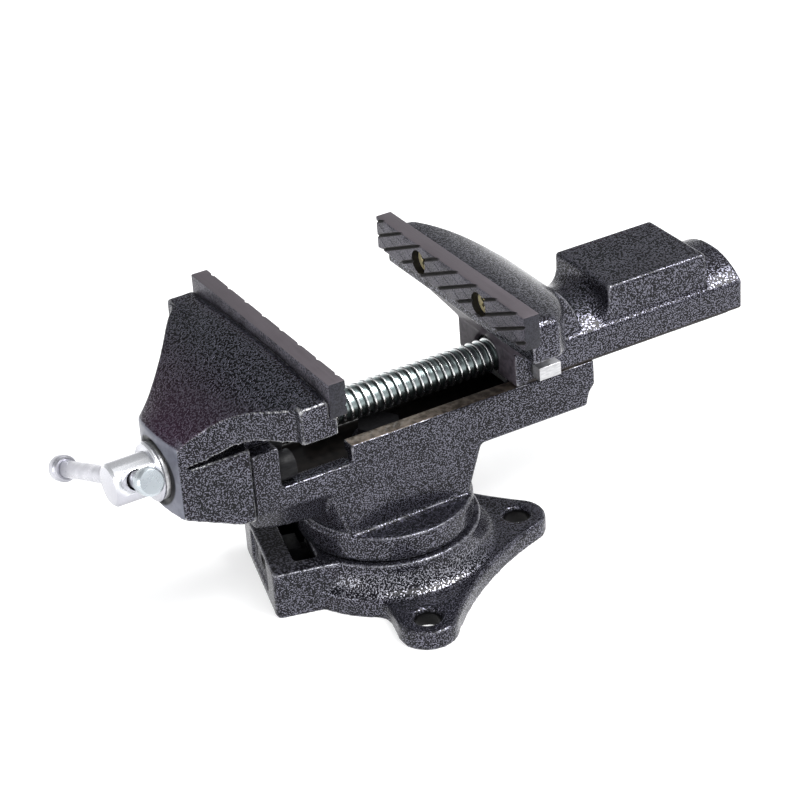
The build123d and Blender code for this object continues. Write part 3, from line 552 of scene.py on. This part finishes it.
def mesh_from(name, points, faces):
    """A mesh from points in millimetres, with its faces turned outwards."""
    mesh = bpy.data.meshes.new(name)
    mesh.from_pydata([Vector(p) * MM for p in points], [], faces)
    bm = bmesh.new()
    bm.from_mesh(mesh)
    bmesh.ops.recalc_face_normals(bm, faces=bm.faces)
    bm.to_mesh(mesh)
    bm.free()
    return mesh


def tube_faces(rows, columns):
    """The faces of a closed tube: rows of quads between rings of columns points, and a cap on each end."""
    faces = []
    for row in range(rows):
        for column in range(columns):
            a, b = row * columns + column, row * columns + (column + 1) % columns
            faces.append((a, b, b + columns, a + columns))
    last = rows * columns
    return faces + [tuple(range(columns)), tuple(range(last, last + columns))]


def rectangle(low_a, high_a, low_b, high_b):
    """The corners of a rectangle in order."""
    return [(low_a, low_b), (high_a, low_b), (high_a, high_b), (low_a, high_b)]


def upright_prism(outline, low, high):
    """The points and faces of a prism: an outline in X and Y, drawn along Z."""
    return [(x, y, z) for z in (low, high) for x, y in outline], tube_faces(1, len(outline))


def revolve_x(profile, side, x0, y0, z0, columns=40):
    """A closed turned shape about an axis along X: profile is (depth, radius), from end to end."""
    points = []
    for depth, radius in profile:
        for column in range(columns):
            angle = tau * column / columns
            points.append((x0 + side * depth, y0 + radius * cos(angle), z0 + radius * sin(angle)))
    return points, tube_faces(len(profile) - 1, columns)


def subtract(piece, name, points, faces):
    """Cuts a shape out of a piece."""
    cutter = linked(name, mesh_from(name, points, faces))
    step = piece.modifiers.new("cut", "BOOLEAN")
    step.operation = "DIFFERENCE"
    step.solver = "EXACT"
    step.object = cutter
    applied(piece)
    bpy.data.objects.remove(cutter)


def close_nose_flank(bm):
    """Thickens the nose's wall where the tapped holes for the jaw bolts come near the flank."""
    front, rear, bottom, top = -92.5, -82.0, 73.9, 82.5
    inner, front_outer, rear_outer = 13.0, 21.24, 23.08
    for side in (-1, 1):
        outline = [(front, inner), (rear, inner), (rear, rear_outer), (front, front_outer)]
        plug = mesh_from("plug", *upright_prism([(x, side * y) for x, y in outline], bottom, top))
        bm.from_mesh(plug)
        bpy.data.meshes.remove(plug)


def casting(node):
    """A cast piece: the CAD shape with every edge rounded as sand casting leaves it."""
    voxel, smoothing, rounds, kept_share = 0.8, 0.5, 8, 0.45
    change = close_nose_flank if node == "front_jaw" else None
    piece = add_object(node + "_cast", cad_copy(node, change), node)
    remesh = piece.modifiers.new("remesh", "REMESH")
    remesh.mode = "VOXEL"
    remesh.voxel_size = voxel * MM
    remesh.use_smooth_shade = True
    soften = piece.modifiers.new("soften", "SMOOTH")
    soften.factor = smoothing
    soften.iterations = rounds
    thin = piece.modifiers.new("thin", "DECIMATE")
    thin.ratio = kept_share
    applied(piece)
    smooth(piece.data)
    mark_creases(piece.data)
    if node == "swivel_base":
        mark_base(piece.data)
    if node == "sliding_jaw":
        seat_on_ways(piece.data)


def rows_of(mesh, what):
    """The places ("co") or normals ("normal") of a mesh's points, in a row each."""
    values = np.empty(len(mesh.vertices) * 3)
    mesh.vertices.foreach_get(what, values)
    return values.reshape(-1, 3)


def write_shares(mesh, **shares):
    """Writes attributes of a mesh's points, which the finishes read."""
    for name, share in shares.items():
        layer = mesh.attributes.new(name, "FLOAT", "POINT")
        layer.data.foreach_set("value", np.clip(share, 0.0, 1.0).astype(np.float32))


def seat_on_ways(mesh):
    """Moves points that swelled past the sliding casting's underside or its keel's sides back onto them."""
    x, y, z = rows_of(mesh, "co").T / MM
    out, down = abs(y) - KEEL_HALF, SLIDE_Z - z
    swollen = (out > 0.0) & (down > 0.0)
    y = np.where(swollen & (out <= down), np.sign(y) * KEEL_HALF, y)
    z = np.where(swollen & (out > down), SLIDE_Z, z)
    mesh.vertices.foreach_set("co", (np.stack((x, y, z), axis=1) * MM).ravel())
    mesh.update()


def mark_creases(mesh):
    """Writes how deep each point lies among its neighbours and how far it stands out, since enamel pools in
    the creases and is thin on the edges."""
    full_slope = 0.20
    place, facing = rows_of(mesh, "co"), rows_of(mesh, "normal")
    ends = np.empty(len(mesh.edges) * 2, dtype=np.int64)
    mesh.edges.foreach_get("vertices", ends)
    ends = ends.reshape(-1, 2)
    step = place[ends[:, 1]] - place[ends[:, 0]]
    step /= np.maximum(np.linalg.norm(step, axis=1), 1e-9)[:, None]
    total, links = np.zeros(len(place)), np.zeros(len(place))
    for here, sign in ((0, -1.0), (1, 1.0)):
        which = ends[:, here]
        np.add.at(total, which, sign * np.einsum("ij,ij->i", step, facing[which]))
        np.add.at(links, which, 1.0)
    stands = total / np.maximum(links, 1.0) / full_slope
    write_shares(mesh, crease=-stands, edge=stands)


def ramp(value, low, high):
    """0 at low and 1 at high, for arrays; low may be the larger."""
    return np.clip((value - low) / (high - low), 0.0, 1.0)


def mark_base(mesh):
    """Writes which points of the base lie in the shade of its holes and pit, and less so of its lug's top,
    for painted shade, and which lie in the front and back of its cove, for a painted highlight on its flecks."""
    pit_x, pit_half_long, pit_half_wide, pit_rim = -43.2, 5.6, 22.6, 21.6
    lug_shade, lug_start, lug_height = 0.55, (-38.0, -42.0), (20.0, 22.0)
    hole_wall, hole_height = (6.9, 6.5), (7.9, 7.3)
    cove_height, cove_outside, cove_inside = (8.8, 10.0), (52.0, 50.0), (42.6, 44.0)
    along, across, z = rows_of(mesh, "co").T / MM
    up = rows_of(mesh, "normal")[:, Z]
    turn = np.radians(BASE_TURN)
    x = along * np.cos(turn) + across * np.sin(turn)
    y = across * np.cos(turn) - along * np.sin(turn)
    pit = (abs(x - pit_x) < pit_half_long) & (abs(y) < pit_half_wide) & (z < pit_rim)
    lug_top = ramp(up, 0.85, 0.95) * ramp(x, *lug_start) * ramp(z, *lug_height)
    shade = np.where(pit, 1.0, lug_shade * lug_top)
    for ear_x, ear_y in EAR_PLACES:
        hole = ramp(np.hypot(x - ear_x, y - ear_y), *hole_wall) * ramp(z, *hole_height)
        shade = np.maximum(shade, hole)
    away = np.hypot(x, y)
    cove = ramp(z, *cove_height) * ramp(away, *cove_outside) * ramp(away, *cove_inside)
    cove = cove * ramp(up, 0.02, 0.25) * ramp(abs(y) / away, 0.55, 0.85)
    write_shares(mesh, shade=shade, cove=cove)


def break_edges(piece, width, sharp=30.0):
    """Bevels a piece's edges by a width in millimetres, where they turn by more than sharp degrees."""
    bevel = piece.modifiers.new("edge", "BEVEL")
    bevel.width = width * MM
    bevel.segments = 2
    bevel.limit_method = "ANGLE"
    bevel.angle_limit = radians(sharp)
    applied(piece)


TURNED_SHARP = 32.0


def turned_piece(node, edge, change=None):
    """A machined piece: the CAD shape with its sharp edges broken by a small bevel."""
    piece = add_object(node + "_finished", cad_copy(node, change), node)
    break_edges(piece, edge, TURNED_SHARP)
    smooth(piece.data, TURNED_SHARP)
    return piece


def thread_height(turn):
    """The share of the thread's depth at a part of a turn: a narrow crest over a wide flat root."""
    crest, flank = 0.20, 0.11
    turn -= floor(turn)
    share = min(max(abs(turn - 0.5) - crest / 2, 0.0) / flank, 1.0)
    return 0.5 + 0.5 * cos(pi * share)


def spindle_thread():
    """The spindle's screw, which rises from its core at the head's end and is pointed at the other."""
    rows_per_turn, columns = 22, 64
    start_length, point_length, point_depth, sharp = 2.0, 1.5, 1.5, 85.0
    step = THREAD_PITCH / rows_per_turn
    rows = round((THREAD_END - THREAD_START) / step)
    points = []
    for row in range(rows + 1):
        x = THREAD_START + row * step
        start_share = min((x - THREAD_START) / start_length, 1.0)
        point_share = min((THREAD_END - x) / point_length, 1.0)
        for column in range(columns):
            angle = tau * column / columns
            high = thread_height(x / THREAD_PITCH - column / columns)
            radius = THREAD_RADIUS - THREAD_DEPTH * (1 - high * start_share)
            radius = min(radius, THREAD_RADIUS - point_depth * (1 - point_share))
            points.append((x, radius * cos(angle), SPINDLE_Z + radius * sin(angle)))
    mesh = mesh_from("spindle_thread", points, tube_faces(rows, columns))
    finish = thread_zinc("thread_zinc")
    add_object("spindle_thread", mesh, body="spindle_body", finish=finish, slot="bright_zinc")
    smooth(mesh, sharp)


def cut_thread_off(bm):
    """Ends the spindle's plain solid inside the start of the thread."""
    overlap = 1.0
    plane = Vector((THREAD_START + overlap, 0, 0)) * MM
    whole = bm.verts[:] + bm.edges[:] + bm.faces[:]
    cut = bmesh.ops.bisect_plane(bm, geom=whole, plane_co=plane, plane_no=(1, 0, 0), clear_outer=True)
    rim = [e for e in cut["geom_cut"] if isinstance(e, bmesh.types.BMEdge)]
    bmesh.ops.holes_fill(bm, edges=rim)


def ease_bore(head):
    """Opens both mouths of the head's bore with a cone."""
    mouth = ((6.5, 3.0), (8.0, 4.3), (9.6, 5.2), (11.0, 5.4))
    columns = 48
    centre = Vector((HANDLE_X, 0, SPINDLE_Z))
    along = Vector(HANDLE_AXIS)
    ahead = Vector((1, 0, 0))
    over = Vector((0, HANDLE_AXIS[Z], -HANDLE_AXIS[Y]))
    for side in (-1, 1):
        points = []
        for reach, radius in mouth:
            for column in range(columns):
                angle = tau * column / columns
                off = ahead * cos(angle) * radius + over * sin(angle) * radius
                points.append(centre + along * side * reach + off)
        subtract(head, "mouth", points, tube_faces(len(mouth) - 1, columns))
    smooth(head.data, TURNED_SHARP)


# The grip grooves, deep ones one way and scratches across them: how steeply they climb along Y, the Y of the
# middle one, half their width and their depth.
GROOVES = ((-0.456, -6.5, 0.95, 1.0), (0.456, 1.5, 0.22, 0.16))
GROOVE_PITCH = 16.0
GROOVES_PER_SIDE = 5


def cut_groove(plate, face_x, side, start_y, lean, half_width, depth):
    """A V groove across the grip face, leaning along Y as it rises."""
    half_length, proud = 34.0, 0.8
    middle = Vector((face_x, start_y, PLATE_TOP - PLATE_SIZE[Z] / 2))
    along = Vector((0, 1 / lean, 1)).normalized()
    across = Vector((0, along.z, -along.y)) * half_width * (1 + proud)
    out = Vector((-side, 0, 0)) * depth
    points = []
    for end in (middle - along * half_length, middle + along * half_length):
        points += [end + across + out * proud, end - across + out * proud, end - out]
    subtract(plate, "groove", points, tube_faces(1, 3))


def jaw_plate(node):
    """A jaw plate with its grip grooves and the sinks of its screws."""
    edge, sharp, beyond = 0.5, 25.0, 1.0
    cone_depth, hole_radius = 3.0, 2.7
    face_x, side = PLATE_FACES[node]
    thick, wide, high = PLATE_SIZE
    low_x, high_x = sorted((face_x, face_x + side * thick))
    solid = upright_prism(rectangle(low_x, high_x, -wide / 2, wide / 2), PLATE_TOP - high, PLATE_TOP)
    piece = add_object(node + "_grooved", mesh_from(node + "_grooved", *solid), node)
    break_edges(piece, edge)
    for lean, middle_y, half_width, depth in GROOVES:
        for step in range(-GROOVES_PER_SIDE, GROOVES_PER_SIDE + 1):
            cut_groove(piece, face_x, side, middle_y + step * GROOVE_PITCH, lean, half_width, depth)
    sink = ((-beyond, SCREW_HEAD_R), (SCREW_SINK, SCREW_HEAD_R),
            (SCREW_SINK + cone_depth, hole_radius), (thick + beyond, hole_radius))
    for y in (-SCREW_Y, SCREW_Y):
        subtract(piece, "sink", *revolve_x(sink, side, face_x, y, SCREW_Z))
    smooth(piece.data, sharp)


def plate_screws(node, plate):
    """The two countersunk screws of a plate, each with a cross recess."""
    face_x, side = PLATE_FACES[plate]
    clearance, sunk, turned = 0.25, 0.1, 0.5
    radius, top = SCREW_HEAD_R - clearance, SCREW_SINK + sunk
    edge, cone_depth, centre_radius, columns, sharp = 0.3, 2.6, 0.9, 36, 30.0
    shank, shank_end, length, tip, tip_end = 2.4, 12.6, 13.3, 1.7, 0.2
    profile = ((top, centre_radius), (top, radius - edge), (top + edge, radius), (top + cone_depth, shank),
               (shank_end, shank), (length, tip), (length, tip_end))
    # A slot of the cross, at its mouth and its bottom: depth under the head, half the length, half the width.
    slot = ((-0.6, 3.5, 0.85), (1.8, 1.5, 0.5))
    bm = bmesh.new()
    for y in (-SCREW_Y, SCREW_Y):
        screw = linked("screw", mesh_from("screw", *revolve_x(profile, side, face_x, y, SCREW_Z, columns)))
        for turn in (turned, turned + pi / 2):
            arm = Vector((0, cos(turn), sin(turn)))
            across = Vector((0, -sin(turn), cos(turn)))
            points = []
            for depth, half_long, half_wide in slot:
                middle = Vector((face_x + side * (top + depth), y, SCREW_Z))
                for a, b in rectangle(-half_long, half_long, -half_wide, half_wide):
                    points.append(middle + arm * a + across * b)
            subtract(screw, "recess", points, tube_faces(1, 4))
        bm.from_mesh(screw.data)
        bpy.data.objects.remove(screw)
    mesh = bpy.data.meshes.new(node + "_crossed")
    bm.to_mesh(mesh)
    bm.free()
    add_object(node + "_crossed", mesh, node)
    smooth(mesh, sharp)


# How wide the broken edges of the machined pieces are, in millimetres.
EDGE_OF = {
    "handle_bar": 0.2, "handle_knob_near": 0.3, "handle_knob_far": 0.3,
    "thrust_washer": 0.2, "retaining_collar": 0.3, "collar_pin": 0.2,
    "nut_keys": 0.35, "spindle_nut": 0.3, "keeper_strips": 0.3, "keeper_screws": 0.1, "front_jaw_bolts": 0.2,
    "pivot_bolt": 0.2, "pivot_plate": 0.2, "pivot_nut": 0.2,
    "lock_screw": 0.15, "lock_nut": 0.2, "lock_shoe": 0.2,
}
SPINDLE_EDGE = 0.4

for node in ("swivel_base", "vise_body", "front_jaw", "sliding_jaw"):
    casting(node)
for node in PLATE_FACES:
    jaw_plate(node)
plate_screws("front_plate_screws", "front_jaw_plate")
plate_screws("rear_plate_screws", "rear_jaw_plate")
ease_bore(turned_piece("spindle", SPINDLE_EDGE, cut_thread_off))
spindle_thread()
for node, edge in EDGE_OF.items():
    turned_piece(node, edge)


# From here on, sizes are in metres. A light has the direction in which the object sees it, its distance, its
# width and height, and its power in watts.
FLOOR_HALF = 6.0
LIGHT_TARGET = (0.02, 0, 0.07)
LIGHTS = {
    "key_right": ((0.41, -0.38, 0.83), 1.8, (1.2, 1.0), 60.0),
    "overhead": ((0.35, 0.05, 0.93), 1.6, (1.2, 1.2), 3.6),
    "key_left": ((-0.12, -0.58, 0.80), 1.8, (0.8, 0.55), 11.0),
    "left_fill": ((-0.95, -0.30, 0.28), 1.5, (0.7, 0.7), 5.0),
}
CAMERA_PLACE = (-0.49072, -0.93331, 0.68201)
CAMERA_BACK = (-0.41201, -0.76519, 0.49470)
CAMERA_ROLL = -4.33
LENS_MM = 123.4
SENSOR_MM = 36.0
FAR_CLIP = 20.0


def plain_floor():
    """A pale floor that shines a little by itself, as a lit paper sweep does."""
    mesh = bpy.data.meshes.new("floor")
    corners = rectangle(-FLOOR_HALF, FLOOR_HALF, -FLOOR_HALF, FLOOR_HALF)
    mesh.from_pydata([(x, y, 0) for x, y in corners], [], [(0, 1, 2, 3)])
    m = Nodes("floor_white")
    m.set(Base_Color=m.mix(m.noise(scale=3.0, detail=1.0), (0.50, 0.50, 0.50), (0.52, 0.52, 0.52)))
    m.set(Roughness=0.9, Specular_IOR_Level=0.0)
    m.set(Emission_Color=(1.0, 1.0, 1.0, 1.0), Emission_Strength=0.62)
    mesh.materials.append(m.material)
    linked("floor", mesh)


def soft_light(name, towards, distance, size, power):
    """A soft box that faces the object."""
    lamp = bpy.data.lights.new(name, "AREA")
    lamp.shape = "RECTANGLE"
    lamp.size, lamp.size_y = size
    lamp.energy = power
    direction = Vector(towards).normalized()
    obj = linked(name, lamp)
    obj.location = Vector(LIGHT_TARGET) + direction * distance
    obj.rotation_euler = direction.to_track_quat("Z", "Y").to_euler()


def studio_world():
    """A pale room, bright in front of the vise and low down, dim high up behind it."""
    rear_share, low, high, bright, dim = 0.45, 0.20, 0.85, 0.92, 0.36
    world = bpy.data.worlds.new("studio")
    world.use_nodes = True
    nodes, links = world.node_tree.nodes, world.node_tree.links
    place = nodes.new("ShaderNodeTexCoord")
    split = nodes.new("ShaderNodeSeparateXYZ")
    links.new(place.outputs["Generated"], split.inputs[0])
    slant = nodes.new("ShaderNodeMath")
    slant.operation = "MULTIPLY_ADD"
    links.new(split.outputs[Y], slant.inputs[0])
    slant.inputs[1].default_value = rear_share
    links.new(split.outputs[Z], slant.inputs[2])
    fall = nodes.new("ShaderNodeMapRange")
    fall.interpolation_type = "SMOOTHSTEP"
    links.new(slant.outputs[0], fall.inputs[0])
    for i, x in enumerate((low, high, bright, dim), 1):
        fall.inputs[i].default_value = x
    shine = nodes["Background"]
    shine.inputs["Color"].default_value = (0.97, 0.98, 1.0, 1.0)
    links.new(fall.outputs[0], shine.inputs["Strength"])
    bpy.context.scene.world = world


def photo_camera():
    """The camera at the photograph's viewing angle."""
    lens = bpy.data.cameras.new("photo_camera")
    lens.sensor_fit = "HORIZONTAL"
    lens.sensor_width = SENSOR_MM
    lens.lens = LENS_MM
    lens.clip_end = FAR_CLIP
    back = Vector(CAMERA_BACK).normalized()
    level = Vector((0, 0, 1)).cross(back).normalized()
    rise = back.cross(level)
    roll = radians(CAMERA_ROLL)
    right = level * cos(roll) + rise * sin(roll)
    axes = Matrix((right, back.cross(right), back)).transposed().to_4x4()
    camera = linked("photo_camera", lens)
    camera.matrix_world = Matrix.Translation(CAMERA_PLACE) @ axes
    bpy.context.scene.camera = camera


plain_floor()
for name, light in LIGHTS.items():
    soft_light(name, *light)
studio_world()
bpy.context.scene.view_settings.view_transform = "Standard"
photo_camera()
